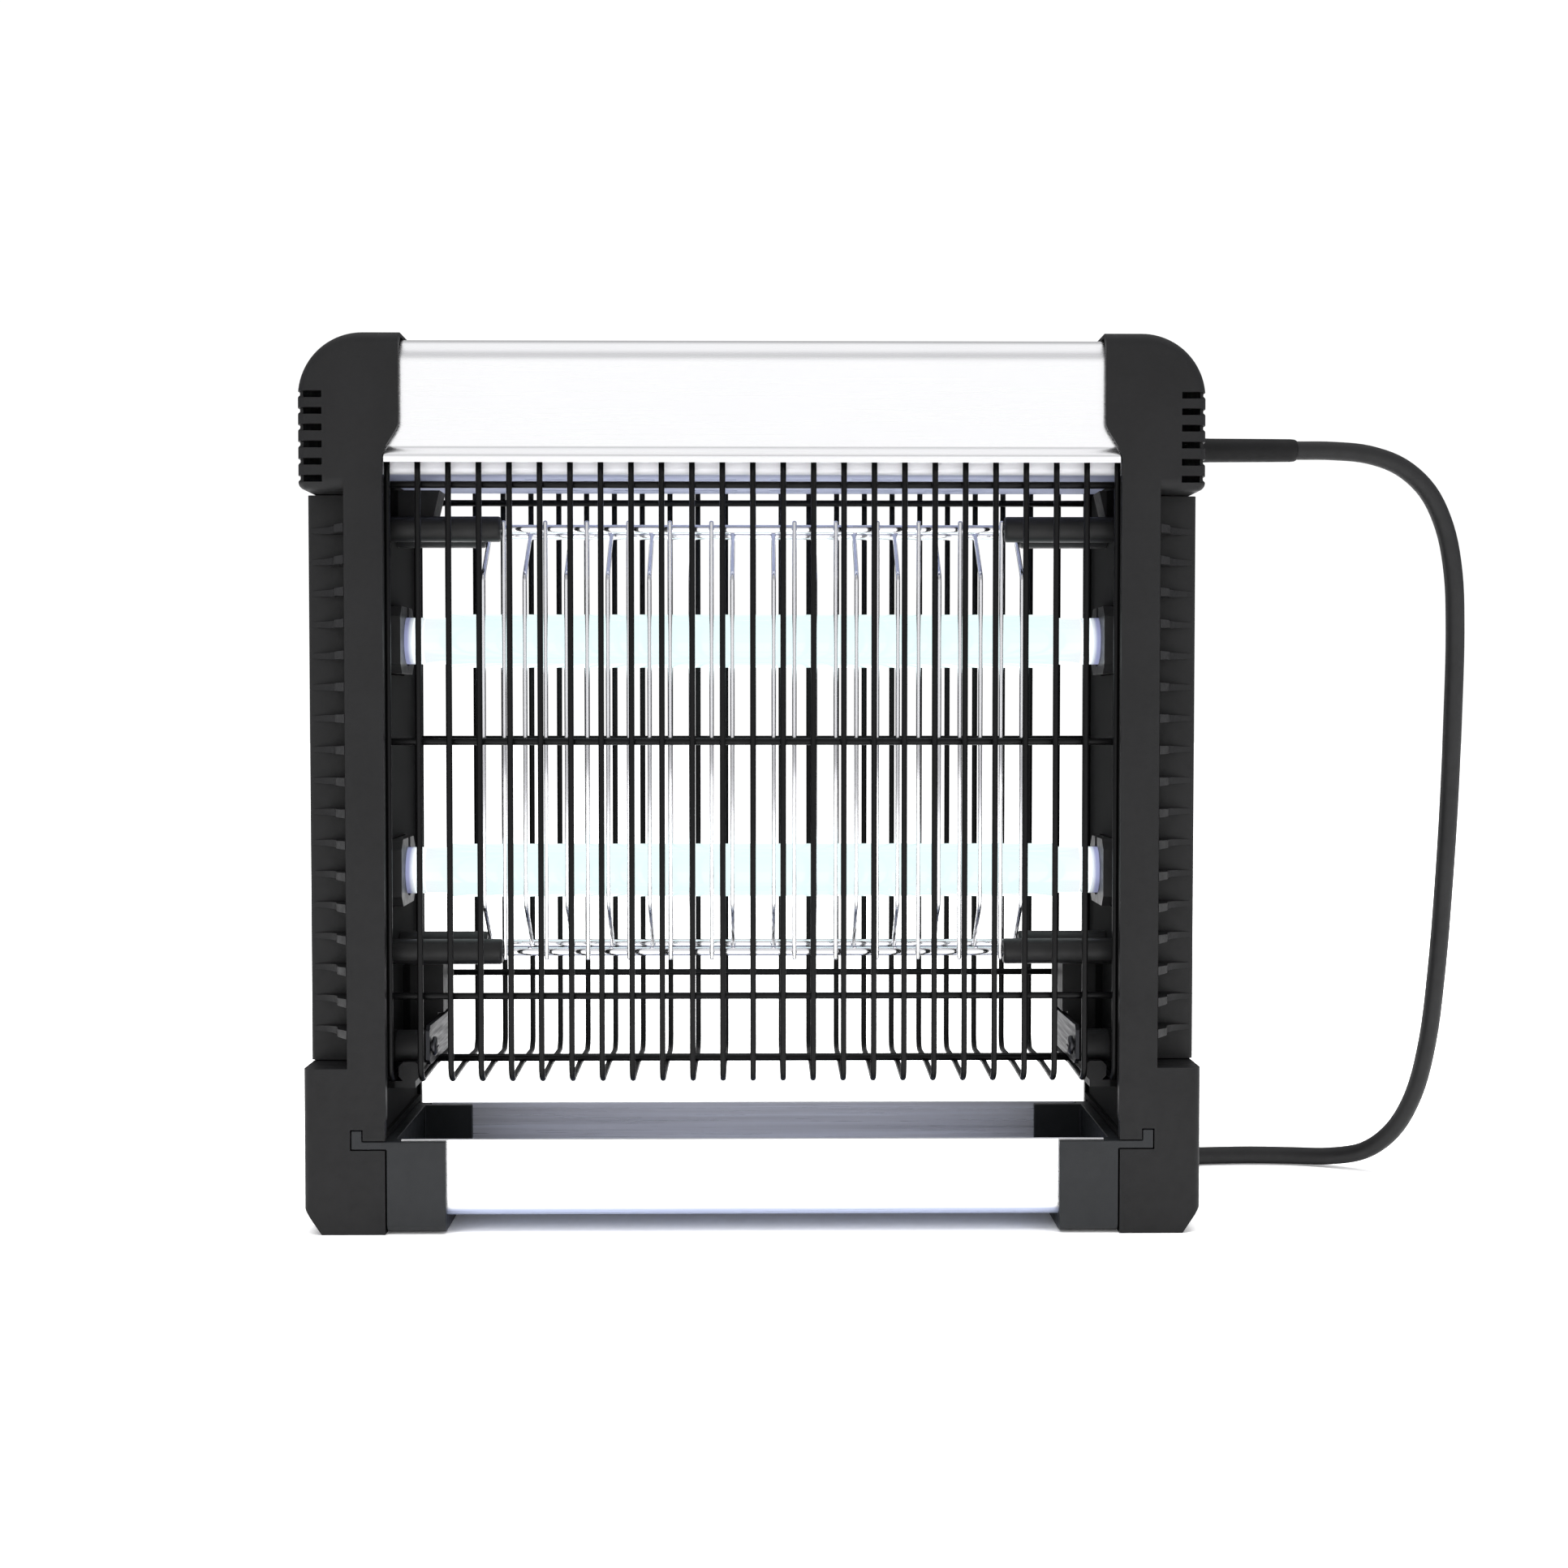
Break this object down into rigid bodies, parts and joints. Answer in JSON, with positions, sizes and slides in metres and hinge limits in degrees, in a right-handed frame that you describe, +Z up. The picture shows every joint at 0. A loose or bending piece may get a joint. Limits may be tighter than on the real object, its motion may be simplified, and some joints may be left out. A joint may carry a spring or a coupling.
{
  "type": "electric bug zapper",
  "caption": "Table-top electric insect killer: black end frames, aluminium hood, fluorescent lamps behind a charged wire grid, wire guards and a slide-out catch tray.",
  "frame": {"origin": "on the table, under the middle of the cabinet", "axes": "+X to the right seen from the front, -Y to the front, +Z up"},
  "size_m": [0.3487, 0.1372, 0.2589],
  "materials": {
    "end_frame": "fine moulded texture, black",
    "louvre_panel": "fine moulded texture, black",
    "tray_cap": "fine moulded texture, black",
    "screw": "zinc plated",
    "hood": "bright satin anodised",
    "base_plate": "satin",
    "circuit_board": "green solder mask",
    "transformer": "ferrite and tape",
    "terminal_block": "white moulded",
    "ballast": "grey painted can",
    "capacitor": "blue sleeve",
    "lamp_glass": "phosphor coated glass, lit",
    "lamp_cap": "white",
    "rotor": "white",
    "lampholder": "black",
    "grid_wire": "bright plated",
    "insulator": "black, slightly glossy",
    "guard_wire": "black powder coat",
    "guard_plate": "brushed",
    "tray_channel": "satin anodised",
    "strain_relief": "soft black",
    "cord": "soft black sheath",
    "hank_tie": "black",
    "plug_body": "soft black moulded",
    "plug_blade": "plain"
  },
  "bodies": {
    "cabinet": {"right_end_frame": "end_frame", "left_end_frame": "end_frame", "right_louvre_panel": "louvre_panel", "left_louvre_panel": "louvre_panel", "right_panel_screw_lower": "screw", "left_panel_screw_lower": "screw", "right_panel_screw_upper": "screw", "left_panel_screw_upper": "screw", "right_plate_screw": "screw", "left_plate_screw": "screw", "hood": "hood", "hood_base_plate": "base_plate", "circuit_board": "circuit_board", "high_voltage_transformer": "transformer", "terminal_block": "terminal_block", "ballast": "ballast", "capacitor_1": "capacitor", "capacitor_2": "capacitor", "upper_right_lampholder": "lampholder", "upper_left_lampholder": "lampholder", "lower_right_lampholder": "lampholder", "lower_left_lampholder": "lampholder", "front_grid_wires": "grid_wire", "bent_grid_wires": "grid_wire", "front_insulator_lower_right": "insulator", "front_insulator_lower_left": "insulator", "front_insulator_upper_right": "insulator", "front_insulator_upper_left": "insulator", "mid_insulator_lower_right": "insulator", "mid_insulator_lower_left": "insulator", "mid_insulator_upper_right": "insulator", "mid_insulator_upper_left": "insulator", "front_guard": "guard_wire", "rear_guard": "guard_wire", "right_guard_plate": "guard_plate", "left_guard_plate": "guard_plate", "strain_relief": "strain_relief", "power_cord": "cord", "cord_hank": "cord", "power_cord_end": "cord", "hank_tie": "hank_tie", "plug_body": "plug_body", "plug_blade_1": "plug_blade", "plug_blade_2": "plug_blade"},
    "tray": {"tray_channel": "tray_channel", "tray_right_cap": "tray_cap", "tray_left_cap": "tray_cap"},
    "upper_lamp": {"upper_lamp_glass": "lamp_glass", "upper_right_lamp_cap": "lamp_cap", "upper_left_lamp_cap": "lamp_cap", "upper_right_rotor": "rotor", "upper_left_rotor": "rotor"},
    "lower_lamp": {"lower_lamp_glass": "lamp_glass", "lower_right_lamp_cap": "lamp_cap", "lower_left_lamp_cap": "lamp_cap", "lower_right_rotor": "rotor", "lower_left_rotor": "rotor"}
  },
  "joints": [
    {"name": "tray_slide", "type": "slide", "parent": "cabinet", "child": "tray", "axis": [0, -1, 0], "range_m": [0, 0.06]},
    {"name": "upper_lamp_twist", "type": "hinge", "parent": "cabinet", "child": "upper_lamp", "pos_m": [0, 0, 0.1719], "axis": [1, 0, 0], "range_deg": [0, 90]},
    {"name": "lower_lamp_twist", "type": "hinge", "parent": "cabinet", "child": "lower_lamp", "pos_m": [0, 0, 0.1027], "axis": [1, 0, 0], "range_deg": [0, 90]}
  ]
}
